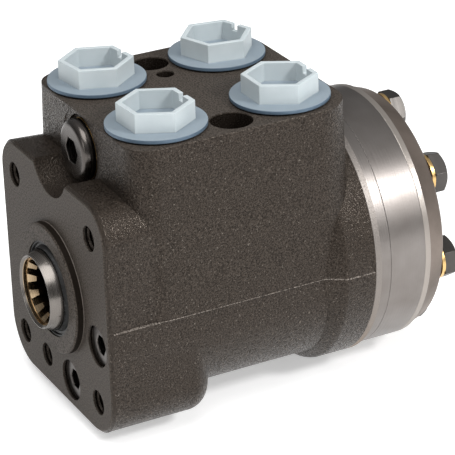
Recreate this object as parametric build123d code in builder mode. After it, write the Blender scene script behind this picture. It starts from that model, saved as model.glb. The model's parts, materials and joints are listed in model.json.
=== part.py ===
from build123d import *
import os
from math import atan2, cos, degrees, pi, radians, sin, sqrt, tan

# Orbital steering unit, in millimetres. The steering shaft lies on the Y axis and its mounting flange is the
# plane y = 0. The ports open upwards along +Z. The valve is in front and the gear set behind.

os.makedirs("parts", exist_ok=True)

# ---------------------------------------------------------------- clearances
RUN = 0.05            # running clearance of turning pieces, on the radius
FIT = 0.10            # screws, seats and seals in their bores, on the radius
THREAD_GAP = 0.10     # a screw's thread inside its minor bore, on the radius
END_PLAY = 0.03       # rotor between the plate and the cover, each side
SEAT_GAP = 0.02       # balls and cones over their seats
SPLINE_GAP = 0.36     # cardan teeth in the rotor's spline, each side

# ---------------------------------------------------------------- housing
FLANGE_WIDTH = 81.2
FLANGE_TOP = 41.2
FLANGE_BOTTOM = 41.3
FLANGE_TOP_CORNER = 12.0
FLANGE_LOW_CORNER = 16.0
FLANGE_DEPTH = 22.0
FLANGE_DRAFT = 3.0
FLANGE_EDGE = 1.2
SPIGOT_R = 22.2
SPIGOT_HEIGHT = 2.8
SPIGOT_RELIEF = 0.6
BODY_WIDTH = 81.2
BODY_BOTTOM = 38.0
BODY_ROUND = 31.0
FOOT_WIDTH = 80.0
FOOT_BOTTOM = 40.6
FOOT_CORNER = 14.0
FOOT_LENGTH = 37.0
FOOT_REAR_ROUND = 7.0
BLOCK_TOP = 58.5
BLOCK_WIDTH = 76.8
BLOCK_SHIFT = 0.8
BLOCK_FRONT = 12.3
BLOCK_REAR = 91.7
BLOCK_FRONT_CORNER = 9.0
BLOCK_REAR_CORNER = 13.0
BLOCK_DRAFT = 2.0
SCOOP_R = 13.7
REAR_FLANGE_PROUD = 1.04      # over the gear set, on the radius
REAR_FLANGE_START = 79.0
REAR_FLANGE_RAMP = 5.0
REAR_FLANGE_EDGE = 3.0
REAR_FACE = 97.1

# Column side: four tapped holes round the spigot
COLUMN_PCD = 82.5
COLUMN_HOLES = 4
COLUMN_THREAD_R = 4.25
COLUMN_THREAD_DEPTH = 16.0

# Ports on the top face
PORT_X = 21.94
PORT_FRONT_Y = 28.55
PORT_SPACING = 44.4
PORT_THREAD_R = 9.3
PORT_DEPTH = 16.5
PORT_MOUTH = 1.2
SIDE_HOLE_RIGHT = (30.5, 7.0)
SIDE_HOLE_LEFT = (-27.4, 6.2)
SIDE_HOLE_DEPTH = 14.0
GAUGE_HOLE = (-16.3, 3.1)
GAUGE_HOLE_DEPTH = 12.0

# Main bore with its ring grooves and commutation channels
BORE_R = 19.0
GROOVE_DEPTH = 2.5
GROOVE_WIDTH = 4.0
CHANNELS = 7
CHANNEL_R = 2.5
CHANNEL_WALL = 3.0            # between the main bore and the channels
CHANNEL_DEPTH = 12.0

# ---------------------------------------------------------------- shaft, seals and bearing
NOSE_R = 13.5
NOSE_END = -7.5
NOSE_TIP_R = 12.3
NOSE_TAPER = 3.9
DUST_SEAL_R = 16.2
DUST_SEAL_FLOOR = 0.9
DUST_LIP = 0.5
DUST_LIP_FRONT = 3.0
DUST_LIP_RAKE = 0.3
DUST_WALL = 0.6
DUST_WALL_RAKE = 0.1
DUST_TROUGH = 1.6
DUST_RIM_FRONT = 2.3
WEB_BACK = 3.2
SHAFT_SEAL_R = 17.4
SEAL_LIP = 1.0
SEAL_HEEL = 2.4
BEARING_START = 8.6
OUTER_RACE = 2.0
ROLLER_R = 1.0
ROLLER_LENGTH = 3.6
ROLLERS = 8
INNER_RACE = 1.5
RACE_BORE_PLAY = 0.2

SPOOL_R = 15.0
SPOOL_BORE_R = 10.7
SPOOL_END_PLAY = 0.6
SPLINE_TEETH = 12
SPLINE_MAJOR_R = 10.95
SPLINE_MINOR_R = 8.85
SPLINE_START = -5.4
SPLINE_LEAD_IN = 2.4
SPLINE_END = 13.0
SPLINE_ROOT_SHARE = 0.62
SPLINE_TIP_SHARE = 0.38
SPLINE_BITE = 0.5
MOUTH_R = 11.3
MOUTH_EDGE = 0.8
SPOOL_GROOVE_START = 50.0
SPOOL_GROOVE_END = 80.0
SPOOL_GROOVE_WIDTH = 3.0
SPOOL_GROOVE_DEPTH = 1.2
SLEEVE_WINDOW = (3.0, 4.0)
METER_Y = 61.0
SPLINE_BOTTOM = 15.0
SPOOL_BACK_BORE = 27.0
SLEEVE_END_PLAY = 0.3
SPRING_Y = 21.1
SPRING_WIDTH = 6.0
SPRING_THICKNESS = 0.5
SPRING_REACH = 18.0
SPRING_SLOT = 5.2
SPRING_RING_THICKNESS = 0.5
PIN_Y = 38.0
PIN_R = 4.0
PIN_EDGE = 0.6
DEFLECTION = 8.0

# ---------------------------------------------------------------- gear set
PLATE_THICKNESS = 4.25
RIM_WIDTH = 13.1
LOBES = 7
LOBE_CIRCLE_R = 36.0
LOBE_R = 10.0
ECCENTRICITY = 3.0
ROTOR_PLAY = 0.08
RIM_ROOT_PLAY = 0.25
ROTOR_SPLINE_MAJOR_R = 10.2
ROTOR_SPLINE_MINOR_R = 8.6
ROTOR_SPLINE_TOOTH = 2.0
CARDAN_NECK_R = 7.0
CARDAN_HEAD_R = 9.6
CARDAN_HEAD_FRONT = 30.0
CARDAN_HEAD_BACK = 52.0
CARDAN_NECK_RAMP = 3.0
CARDAN_SLOT_EXTRA = 1.0
CARDAN_SPLINE_LENGTH = 9.0
CARDAN_SPLINE_START = 1.2
SPACER_PLAY = 0.25
SPACER_LENGTH = 1.9
PLATE_BORE_R = 11.2
PLATE_SLOT_OVERLAP = 1.0      # of each slot over its channel, towards the shaft
PLATE_SLOT_INSET = 2.25       # of each slot inside the rim's root
ROTOR_LOBE_ARCS = 10

BOLTS = 7
BOLT_INSET = 2.0              # of the bolt circle inside the circle of the lobes
BOLT_R = 3.9
BOLT_HOLE_R = 4.3
BOLT_DEPTH = 17.0
BOLT_END_ROOM = 1.0
BOLT_HEAD_AF = 13.0
BOLT_HEAD_HEIGHT = 5.0
BOLT_HEAD_CHAMFER = 0.9
BOLT_FACE_STEP = 0.3
BOLT_TURN = 17.0
WASHER_R = 6.9
WASHER_THICKNESS = 1.3

COVER_THICKNESS = 9.4
COVER_BAND = 2.2
COVER_STEP = 0.5
COVER_CONE = 2.86             # by which the cover narrows to its back
COVER_EDGE = 1.2

SEAL_FROM_BOLTS = 2.35        # wall between the bolt holes and the seal grooves
SEAL_WIDTH = 1.9
SEAL_HEIGHT = 1.4
SEAL_EDGE = 1.51              # wall outside the seal grooves

# ---------------------------------------------------------------- valves
RELIEF_Z = 46.4
RELIEF_HEAD_R = 10.2
RELIEF_HEAD = 4.2
RELIEF_HEAD_PROUD = 3.8
RELIEF_RIM_ROUND = 2.4
RELIEF_SPOT_R = 11.4
RELIEF_WASHER = 1.0
RELIEF_THREAD_R = 9.0
RELIEF_THREAD_END = 27.0
RELIEF_SHANK_END = 22.0
RELIEF_CHAMBER_R = 6.5
RELIEF_SEAT_Y = 38.0
RELIEF_SEAT_LENGTH = 6.0
RELIEF_SEAT_BORE = 2.5
RELIEF_SOCKET_AF = 8.0
RELIEF_SOCKET_DEPTH = 6.0
RELIEF_CONE_R = 3.6
RELIEF_CONE_RIM = 1.0
RELIEF_STEM_R = 2.6
RELIEF_GUIDE_Y = 31.0
RELIEF_GUIDE = 2.0
RELIEF_PILOT = 1.5
RELIEF_PILOT_R = 3.2
RELIEF_SPRING_R = 4.3
RELIEF_WIRE = 1.4
RELIEF_TURNS = 4

SHOCK_PLACES = ((30.9, -8.0), (8.0, -30.9))
SHOCK_BORE_R = 7.0
SHOCK_SCREW_FRONT = 1.4
SHOCK_SCREW_LENGTH = 8.4
SHOCK_SOCKET_AF = 6.0
SHOCK_SOCKET_DEPTH = 5.0

CHECK_PLACE = (-11.3, -30.2)
CHECK_BORE_R = 4.1
CHECK_SEAT_Y = 26.0
CHECK_SEAT_BORE = 2.6
CHECK_BALL_R = 3.95
CHECK_BUSHING_FRONT = 10.0
CHECK_BUSHING_BACK = 17.3
CHECK_BUSHING_BORE = 2.2
CHECK_DRAIN_END = 34.0

# ---------------------------------------------------------------- plastic port plugs
PLUG_FLANGE_R = 16.4
PLUG_FLANGE = 1.3
PLUG_STEP_R = 11.6
PLUG_STEP = 0.6
PLUG_HEX_AF = 21.7
PLUG_HEX_HEIGHT = 6.5
PLUG_WALL = 1.7
PLUG_SHANK_LENGTH = 11.0
PLUG_SHANK_PLAY = 0.3
PLUG_NOTCH = 2.4
PLUG_TURNS = {"front_left": 8.0, "front_right": 3.0, "rear_left": 20.0, "rear_right": 0.0}

# ---------------------------------------------------------------- worked-out places
RIM_FRONT = REAR_FACE + PLATE_THICKNESS
RIM_BACK = RIM_FRONT + RIM_WIDTH
COVER_BACK = RIM_BACK + COVER_THICKNESS
PORT_REAR_Y = PORT_FRONT_Y + PORT_SPACING
PORT_MID_Y = PORT_FRONT_Y + PORT_SPACING / 2
BOLT_STEP = 360 / BOLTS
BOLT_CIRCLE_R = LOBE_CIRCLE_R - BOLT_INSET
SEAL_INNER_R = BOLT_CIRCLE_R + BOLT_HOLE_R + SEAL_FROM_BOLTS
SEAL_OUTER_R = SEAL_INNER_R + SEAL_WIDTH
GEAR_SET_R = SEAL_OUTER_R + SEAL_EDGE
REAR_FLANGE_R = GEAR_SET_R + REAR_FLANGE_PROUD
COVER_BACK_R = GEAR_SET_R - COVER_CONE
RIM_ROOT_R = LOBE_CIRCLE_R - LOBE_R + 2 * ECCENTRICITY + RIM_ROOT_PLAY
CHANNEL_CIRCLE_R = BORE_R + CHANNEL_WALL + CHANNEL_R
PLATE_SLOT_START = CHANNEL_CIRCLE_R - CHANNEL_R - PLATE_SLOT_OVERLAP
PLATE_SLOT_END = RIM_ROOT_R - PLATE_SLOT_INSET
RACE_BORE_R = NOSE_R + RACE_BORE_PLAY
ROLLER_START = BEARING_START + OUTER_RACE + SEAT_GAP
INNER_RACE_START = ROLLER_START + 2 * ROLLER_R + SEAT_GAP
SLEEVE_FRONT = INNER_RACE_START + INNER_RACE
SLEEVE_BACK = REAR_FACE - SLEEVE_END_PLAY
SPOOL_SHOULDER = SLEEVE_FRONT + 1.0
SPOOL_BACK = REAR_FACE - SPOOL_END_PLAY
SLEEVE_R = BORE_R - RUN
GEAR_MID = RIM_FRONT + CARDAN_SPLINE_START + CARDAN_SPLINE_LENGTH / 2
CARDAN_TILT = degrees(atan2(ECCENTRICITY, GEAR_MID - PIN_Y))


def front(y):
    """Sketch plane across the shaft at distance y: sketch x is +X, sketch y is +Z, extrude by -length."""
    return Plane.XZ.offset(-y)


def along(x=0.0, z=0.0):
    """The line through (x, z) that runs along Y."""
    return Axis((x, 0, z), (0, 1, 0))


def outline(points, x=0.0, z=0.0):
    """Closed outline of (radius, y) points beside the line through (x, z) along Y, to be revolved."""
    with BuildSketch(Plane((x, 0, z))) as half_section:
        with BuildLine():
            Polyline(*points, close=True)
        make_face()
    return half_section.sketch


def ring(inner, outer, start, end):
    """Half section of a plain ring from y = start to y = end."""
    return [(inner, start), (outer, start), (outer, end), (inner, end)]


def on_circle(radius, angle):
    """Point of the (X, Z) plane at an angle from +X towards +Z."""
    return (radius * cos(radians(angle)), radius * sin(radians(angle)))


def finish(piece, name):
    """Label a finished piece and write its file."""
    piece.part.label = name
    export_step(piece.part, f"parts/{name}.step")


def tube(inner, outer, start, end, x=0.0, z=0.0):
    """Plain ring about the line through (x, z) along Y."""
    with BuildPart() as piece:
        revolve(outline(ring(inner, outer, start, end), x, z), axis=along(x, z))
    return piece


def hex_bar(across_flats, start, length, x=0.0, z=0.0):
    """Hexagonal bar or socket along Y."""
    with BuildPart() as piece:
        with BuildSketch(front(start)):
            with Locations((x, z)):
                RegularPolygon(across_flats / 2, 6, major_radius=False)
        extrude(amount=-length)
    return piece.part


def coil_spring(x, z, start, end, coil_r, wire, turns):
    """Coil spring of square wire along Y between two seats."""
    height = end - start - wire
    with BuildPart() as spring:
        with BuildLine() as path:
            Helix(height / turns, height, coil_r, center=(x, start + wire / 2, z), direction=(0, 1, 0))
        with BuildSketch(Plane(path.line @ 0, x_dir=(0, 1, 0), z_dir=path.line % 0)):
            Rectangle(wire, wire)
        sweep(path=path.line, is_frenet=True)
    return spring


def ball_front(seat_y, seat_bore, ball_r):
    """Centre of a ball that rests on a seat's edge from the front."""
    return seat_y - sqrt(ball_r ** 2 - seat_bore ** 2) - SEAT_GAP


# ---------------------------------------------------------------- housing
# Cutter that breaks the flange's front edge all round
with BuildPart() as edge_cutter:
    with BuildSketch(front(0)):
        Rectangle(2 * FLANGE_WIDTH, 2 * FLANGE_WIDTH)
    extrude(amount=-FLANGE_EDGE)
    with BuildSketch(front(0)) as inside_edge:
        with Locations((0, (FLANGE_TOP - FLANGE_BOTTOM) / 2)):
            Rectangle(FLANGE_WIDTH - 2 * FLANGE_EDGE, FLANGE_TOP + FLANGE_BOTTOM - 2 * FLANGE_EDGE)
        fillet(inside_edge.vertices().group_by(Axis.Y)[0], FLANGE_LOW_CORNER - FLANGE_EDGE)
        fillet(inside_edge.vertices().group_by(Axis.Y)[-1], FLANGE_TOP_CORNER - FLANGE_EDGE)
    extrude(amount=-FLANGE_EDGE, taper=-45, mode=Mode.SUBTRACT)

with BuildPart() as housing:
    # Valve foot under the flange, rounded at its rear
    with BuildSketch(front(0)) as foot_section:
        with Locations((0, -FOOT_BOTTOM / 2)):
            Rectangle(FOOT_WIDTH, FOOT_BOTTOM)
        fillet(foot_section.vertices().group_by(Axis.Y)[0], FOOT_CORNER)
    extrude(amount=-FOOT_LENGTH)
    foot_back = housing.faces().sort_by(Axis.Y)[-1]
    fillet(foot_back.edges().filter_by(lambda edge: edge.center().Z < -1), FOOT_REAR_ROUND)
    # Bore body: flat sides, round bottom
    with BuildSketch(front(0)) as body_section:
        with Locations((0, -BODY_BOTTOM / 2)):
            Rectangle(BODY_WIDTH, BODY_BOTTOM)
        fillet(body_section.vertices().group_by(Axis.Y)[0], BODY_ROUND)
    extrude(amount=-REAR_FLANGE_START)
    # Port block with casting draft
    block_spread = BLOCK_TOP * tan(radians(BLOCK_DRAFT))
    block_length = BLOCK_REAR - BLOCK_FRONT
    with BuildSketch(Plane.XY) as block_plan:
        with Locations((BLOCK_SHIFT, (BLOCK_FRONT + BLOCK_REAR) / 2)):
            Rectangle(BLOCK_WIDTH + 2 * block_spread, block_length + 2 * block_spread)
        fillet(block_plan.vertices().group_by(Axis.Y)[0], BLOCK_FRONT_CORNER + block_spread)
        fillet(block_plan.vertices().group_by(Axis.Y)[-1], BLOCK_REAR_CORNER + block_spread)
    extrude(amount=BLOCK_TOP, taper=BLOCK_DRAFT)
    # Mounting flange, a little smaller behind than at its machined face
    with BuildSketch(front(0)) as flange_face:
        with Locations((0, (FLANGE_TOP - FLANGE_BOTTOM) / 2)):
            Rectangle(FLANGE_WIDTH, FLANGE_TOP + FLANGE_BOTTOM)
        fillet(flange_face.vertices().group_by(Axis.Y)[0], FLANGE_LOW_CORNER)
        fillet(flange_face.vertices().group_by(Axis.Y)[-1], FLANGE_TOP_CORNER)
    extrude(amount=-FLANGE_DEPTH, taper=FLANGE_DRAFT)
    add(edge_cutter.part, mode=Mode.SUBTRACT)
    # Round flange that carries the gear set
    with BuildSketch(Plane.XY) as rear_flange:
        with BuildLine():
            Polyline((0, REAR_FLANGE_START - REAR_FLANGE_RAMP),
                     (REAR_FLANGE_R - REAR_FLANGE_RAMP, REAR_FLANGE_START - REAR_FLANGE_RAMP / 2),
                     (REAR_FLANGE_R, REAR_FLANGE_START + REAR_FLANGE_RAMP), (REAR_FLANGE_R, REAR_FACE),
                     (0, REAR_FACE), close=True)
        make_face()
        fillet(rear_flange.vertices().filter_by_position(Axis.Y, REAR_FLANGE_START, REAR_FACE - 1),
               REAR_FLANGE_EDGE)
    revolve(axis=Axis.Y)
    # Spigot that centres the column, with a relief groove at its root
    spigot = [(0, -SPIGOT_HEIGHT), (SPIGOT_R - SPIGOT_RELIEF, -SPIGOT_HEIGHT),
              (SPIGOT_R, -SPIGOT_HEIGHT + SPIGOT_RELIEF), (SPIGOT_R, 0), (0, 0)]
    revolve(outline(spigot), axis=Axis.Y)
    # Scoop in the flange and cavity of the relief valve
    with BuildSketch(front(0)):
        with Locations((0, RELIEF_Z)):
            Circle(SCOOP_R)
    extrude(amount=-BLOCK_FRONT, mode=Mode.SUBTRACT)
    spot_floor = BLOCK_FRONT - RELIEF_HEAD_PROUD + RELIEF_HEAD + RELIEF_WASHER
    relief_cavity = [(0, 0), (RELIEF_SPOT_R, 0), (RELIEF_SPOT_R, spot_floor), (RELIEF_THREAD_R, spot_floor),
                     (RELIEF_THREAD_R, RELIEF_THREAD_END), (RELIEF_CHAMBER_R, RELIEF_THREAD_END),
                     (RELIEF_CHAMBER_R, RELIEF_SEAT_Y + RELIEF_SEAT_LENGTH),
                     (0, RELIEF_SEAT_Y + RELIEF_SEAT_LENGTH)]
    revolve(outline(relief_cavity, z=RELIEF_Z), axis=along(z=RELIEF_Z), mode=Mode.SUBTRACT)
    # Main bore: dust seal pocket, web, shaft seal pocket, bearing and sleeve bore
    main_bore = [(0, -SPIGOT_HEIGHT), (DUST_SEAL_R, -SPIGOT_HEIGHT), (DUST_SEAL_R, DUST_SEAL_FLOOR),
                 (NOSE_R + RUN, DUST_SEAL_FLOOR), (NOSE_R + RUN, WEB_BACK), (SHAFT_SEAL_R, WEB_BACK),
                 (SHAFT_SEAL_R, BEARING_START), (BORE_R, BEARING_START), (BORE_R, REAR_FACE),
                 (0, REAR_FACE)]
    revolve(outline(main_bore), axis=Axis.Y, mode=Mode.SUBTRACT)
    # Ring grooves of the main bore: one under each pair of ports and one between them
    for groove_y in (PORT_FRONT_Y, PORT_MID_Y, PORT_REAR_Y):
        groove = ring(BORE_R - 1, BORE_R + GROOVE_DEPTH, groove_y - GROOVE_WIDTH / 2,
                      groove_y + GROOVE_WIDTH / 2)
        revolve(outline(groove), axis=Axis.Y, mode=Mode.SUBTRACT)
    # Tapped ports with chamfered mouths
    for port_x in (-PORT_X, PORT_X):
        for port_y in (PORT_FRONT_Y, PORT_REAR_Y):
            with Locations((port_x, port_y, BLOCK_TOP)):
                Hole(PORT_THREAD_R, PORT_DEPTH)
                Cone(PORT_THREAD_R, PORT_THREAD_R + PORT_MOUTH, PORT_MOUTH,
                     align=(Align.CENTER, Align.CENTER, Align.MAX), mode=Mode.SUBTRACT)
    # Tapped side holes and gauge hole between the ports
    for hole_x, hole_r in (SIDE_HOLE_RIGHT, SIDE_HOLE_LEFT):
        with Locations((hole_x, PORT_MID_Y, BLOCK_TOP)):
            Hole(hole_r, SIDE_HOLE_DEPTH)
    with Locations((GAUGE_HOLE[0], PORT_MID_Y, BLOCK_TOP)):
        Hole(GAUGE_HOLE[1], GAUGE_HOLE_DEPTH)
    # Tapped holes for the column's screws
    with BuildSketch(front(0)):
        with PolarLocations(COLUMN_PCD / 2, COLUMN_HOLES, start_angle=45):
            Circle(COLUMN_THREAD_R)
    extrude(amount=-COLUMN_THREAD_DEPTH, mode=Mode.SUBTRACT)
    # Shock valve bores and check valve bore in the front face
    with BuildSketch(front(0)):
        with Locations(*SHOCK_PLACES):
            Circle(SHOCK_BORE_R)
    extrude(amount=-SHOCK_SCREW_FRONT - SHOCK_SCREW_LENGTH, mode=Mode.SUBTRACT)
    check_bore = [(0, 0), (CHECK_BORE_R, 0), (CHECK_BORE_R, CHECK_SEAT_Y), (CHECK_SEAT_BORE, CHECK_SEAT_Y),
                  (CHECK_SEAT_BORE, CHECK_DRAIN_END), (0, CHECK_DRAIN_END)]
    revolve(outline(check_bore, *CHECK_PLACE), axis=along(*CHECK_PLACE), mode=Mode.SUBTRACT)
    # Rear face: tapped bolt holes, the seven channels to the gear set, and the seal groove
    with BuildSketch(front(REAR_FACE)):
        with PolarLocations(BOLT_CIRCLE_R, BOLTS, start_angle=90):
            Circle(BOLT_R + THREAD_GAP)
    extrude(amount=BOLT_DEPTH, mode=Mode.SUBTRACT)
    with BuildSketch(front(REAR_FACE)):
        with PolarLocations(CHANNEL_CIRCLE_R, CHANNELS, start_angle=90 + BOLT_STEP / 2):
            Circle(CHANNEL_R)
    extrude(amount=CHANNEL_DEPTH, mode=Mode.SUBTRACT)
    rear_seal = ring(SEAL_INNER_R, SEAL_OUTER_R, REAR_FACE - SEAL_HEIGHT, REAR_FACE)
    revolve(outline(rear_seal), axis=Axis.Y, mode=Mode.SUBTRACT)
finish(housing, "housing")

# ---------------------------------------------------------------- shaft seals and thrust bearing
with BuildPart() as dust_seal:
    lip = [(DUST_SEAL_R - RUN, DUST_SEAL_FLOOR), (NOSE_R + DUST_LIP, DUST_SEAL_FLOOR),
           (NOSE_R + RUN, -DUST_LIP), (NOSE_R + RUN, -DUST_LIP_FRONT),
           (NOSE_R + DUST_LIP, -DUST_LIP_FRONT - DUST_LIP_RAKE),
           (NOSE_R + DUST_LIP + DUST_WALL, -DUST_TROUGH),
           (DUST_SEAL_R - DUST_WALL - DUST_WALL_RAKE, -DUST_TROUGH),
           (DUST_SEAL_R - DUST_WALL, -DUST_RIM_FRONT), (DUST_SEAL_R - RUN, -DUST_RIM_FRONT)]
    revolve(outline(lip), axis=Axis.Y)
finish(dust_seal, "dust_seal")

with BuildPart() as shaft_seal:
    seal_cup = [(NOSE_R + RUN, WEB_BACK + SEAL_LIP), (NOSE_R + SEAL_LIP, WEB_BACK),
                (SHAFT_SEAL_R - RUN, WEB_BACK), (SHAFT_SEAL_R - RUN, BEARING_START),
                (NOSE_R + SEAL_HEEL, BEARING_START), (NOSE_R + SEAL_HEEL - SEAL_LIP, WEB_BACK + SEAL_HEEL),
                (NOSE_R + RUN, WEB_BACK + 2 * SEAL_LIP)]
    revolve(outline(seal_cup), axis=Axis.Y)
finish(shaft_seal, "shaft_seal")

bearing_outer_race = tube(RACE_BORE_R, BORE_R - RUN, BEARING_START, BEARING_START + OUTER_RACE)
finish(bearing_outer_race, "bearing_outer_race")

roller_middle = ROLLER_START + ROLLER_R
roller_circle = (RACE_BORE_R + BORE_R - RUN) / 2
with BuildPart() as bearing_cage:
    cage_half = ROLLER_R * 0.7
    cage = ring(RACE_BORE_R + RUN, BORE_R - 2 * RUN, roller_middle - cage_half, roller_middle + cage_half)
    revolve(outline(cage), axis=Axis.Y)
    with BuildSketch(front(roller_middle - cage_half)):
        with PolarLocations(roller_circle, ROLLERS):
            Rectangle(ROLLER_LENGTH + 2 * RUN, 2 * (ROLLER_R + RUN))
    extrude(amount=-2 * cage_half, mode=Mode.SUBTRACT)
finish(bearing_cage, "bearing_cage")

with BuildPart() as bearing_rollers:
    for number in range(ROLLERS):
        turn = 360 / ROLLERS * number
        roller_x, roller_z = on_circle(roller_circle, turn)
        with Locations(Location((roller_x, roller_middle, roller_z), (0, 90 - turn, 0))):
            Cylinder(ROLLER_R, ROLLER_LENGTH)
finish(bearing_rollers, "bearing_rollers")

bearing_inner_race = tube(RACE_BORE_R, SLEEVE_R, INNER_RACE_START, SLEEVE_FRONT)
finish(bearing_inner_race, "bearing_inner_race")

# ---------------------------------------------------------------- spool and sleeve
SLOT_ROOM = 0.1
slot_width = SPRING_WIDTH + 2 * SLOT_ROOM
spool_pin_hole_r = PIN_R + SPOOL_R * sin(radians(DEFLECTION)) + 0.2
spool_groove_angles = [30 + 60 * number for number in range(6)]
with BuildPart() as spool:
    spool_body = [(0, NOSE_END), (NOSE_TIP_R, NOSE_END), (NOSE_R, NOSE_END + NOSE_TAPER),
                  (NOSE_R, SPOOL_SHOULDER), (SPOOL_R - RUN, SPOOL_SHOULDER), (SPOOL_R - RUN, SPOOL_BACK),
                  (0, SPOOL_BACK)]
    revolve(outline(spool_body), axis=Axis.Y)
    spool_bores = [(0, NOSE_END), (MOUTH_R + MOUTH_EDGE, NOSE_END), (MOUTH_R, NOSE_END + MOUTH_EDGE),
                   (MOUTH_R, SPLINE_START), (SPLINE_MAJOR_R, SPLINE_START), (SPLINE_MAJOR_R, SPLINE_BOTTOM),
                   (0, SPLINE_BOTTOM)]
    revolve(outline(spool_bores), axis=Axis.Y, mode=Mode.SUBTRACT)
    revolve(outline(ring(0, SPOOL_BORE_R, SPOOL_BACK_BORE, SPOOL_BACK)), axis=Axis.Y, mode=Mode.SUBTRACT)
    # Spline for the column shaft: teeth left standing between the tooth spaces, their fronts coned
    spline_root = 2 * pi * SPLINE_MAJOR_R / SPLINE_TEETH * SPLINE_ROOT_SHARE
    spline_tip = 2 * pi * SPLINE_MINOR_R / SPLINE_TEETH * SPLINE_TIP_SHARE
    with BuildSketch(front(SPLINE_START)):
        with PolarLocations(0, SPLINE_TEETH):
            Polygon((SPLINE_MAJOR_R + SPLINE_BITE, -spline_root / 2),
                    (SPLINE_MAJOR_R + SPLINE_BITE, spline_root / 2), (SPLINE_MINOR_R, spline_tip / 2),
                    (SPLINE_MINOR_R, -spline_tip / 2), align=None)
    extrude(amount=-(SPLINE_END - SPLINE_START))
    lead_in = [(0, SPLINE_START), (SPLINE_MAJOR_R, SPLINE_START),
               (SPLINE_MINOR_R, SPLINE_START + SPLINE_LEAD_IN), (0, SPLINE_START + SPLINE_LEAD_IN)]
    revolve(outline(lead_in), axis=Axis.Y, mode=Mode.SUBTRACT)
    # Slot for the leaf springs, and wide holes that leave the cross pin room to swing
    with BuildSketch(Plane.YZ.offset(-SPOOL_R)):
        with Locations((SPRING_Y, 0)):
            Rectangle(slot_width, SPRING_SLOT)
    extrude(amount=2 * SPOOL_R, mode=Mode.SUBTRACT)
    with BuildSketch(Plane.YZ.offset(-SPOOL_R)):
        with Locations((PIN_Y, 0)):
            Circle(spool_pin_hole_r)
    extrude(amount=2 * SPOOL_R, mode=Mode.SUBTRACT)
    # Milled oil grooves
    for turn in spool_groove_angles:
        with Locations(Location((0, (SPOOL_GROOVE_START + SPOOL_GROOVE_END) / 2, 0), (0, turn, 0))):
            with Locations((0, 0, SPOOL_R)):
                Box(SPOOL_GROOVE_WIDTH, SPOOL_GROOVE_END - SPOOL_GROOVE_START, 2 * SPOOL_GROOVE_DEPTH,
                    mode=Mode.SUBTRACT)
finish(spool, "spool")

spring_ring_y = (SPRING_Y - slot_width / 2 - 0.8, SPRING_Y + slot_width / 2 + 0.8)
spring_ring_outer = SLEEVE_R - SLOT_ROOM
spring_ring_inner = spring_ring_outer - SPRING_RING_THICKNESS
with BuildPart() as sleeve:
    revolve(outline(ring(SPOOL_R, SLEEVE_R, SLEEVE_FRONT, SLEEVE_BACK)), axis=Axis.Y)
    ring_groove = ring(spring_ring_inner - RUN, SLEEVE_R + 1, spring_ring_y[0] - RUN,
                       spring_ring_y[1] + RUN)
    revolve(outline(ring_groove), axis=Axis.Y, mode=Mode.SUBTRACT)
    with BuildSketch(Plane.YZ.offset(-BORE_R)):
        with Locations((SPRING_Y, 0)):
            Rectangle(slot_width, SPRING_SLOT)
        with Locations((PIN_Y, 0)):
            Circle(PIN_R + RUN / 2)
    extrude(amount=2 * BORE_R, mode=Mode.SUBTRACT)
    # Oil windows over the housing's ring grooves, and the metering row behind them
    for row_y, first in ((PORT_FRONT_Y, 45), (PORT_MID_Y, 45), (METER_Y, 0), (PORT_REAR_Y, 45)):
        for turn in (first, first + 90):
            with Locations(Location((0, row_y, 0), (0, turn, 0))):
                Box(SLEEVE_WINDOW[0], SLEEVE_WINDOW[1], 2 * BORE_R, mode=Mode.SUBTRACT)
finish(sleeve, "sleeve")

spring_ring = tube(spring_ring_inner, spring_ring_outer, *spring_ring_y)
finish(spring_ring, "spring_ring")

# Leaf springs: two flat ones in the middle, and one bowed away from them on each side
bow = SPRING_SLOT / 2 - 2 * SPRING_THICKNESS - SLOT_ROOM
with BuildPart() as centring_springs:
    with BuildSketch(front(SPRING_Y - SPRING_WIDTH / 2)):
        with Locations((0, SPRING_THICKNESS / 2), (0, -SPRING_THICKNESS / 2)):
            Rectangle(2 * SPRING_REACH, SPRING_THICKNESS - SEAT_GAP)
    extrude(amount=-SPRING_WIDTH)
    for side in (-1, 1):
        low = side * (SPRING_THICKNESS + SEAT_GAP)
        high = low + side * (SPRING_THICKNESS - SEAT_GAP)
        low_end = low + side * bow
        high_end = high + side * bow
        with BuildSketch(front(SPRING_Y - SPRING_WIDTH / 2)):
            with BuildLine():
                ThreePointArc((-SPRING_REACH, low_end), (0, low), (SPRING_REACH, low_end))
                Line((SPRING_REACH, low_end), (SPRING_REACH, high_end))
                ThreePointArc((SPRING_REACH, high_end), (0, high), (-SPRING_REACH, high_end))
                Line((-SPRING_REACH, high_end), (-SPRING_REACH, low_end))
            make_face()
        extrude(amount=-SPRING_WIDTH)
finish(centring_springs, "centring_springs")

pin_reach = sqrt(SLEEVE_R ** 2 - PIN_R ** 2) - SLOT_ROOM
with BuildPart() as cross_pin:
    with BuildSketch(Plane.YZ.offset(-pin_reach)):
        with Locations((PIN_Y, 0)):
            Circle(PIN_R)
    extrude(amount=2 * pin_reach)
    chamfer(cross_pin.edges().filter_by(GeomType.CIRCLE), PIN_EDGE)
finish(cross_pin, "cross_pin")

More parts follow.
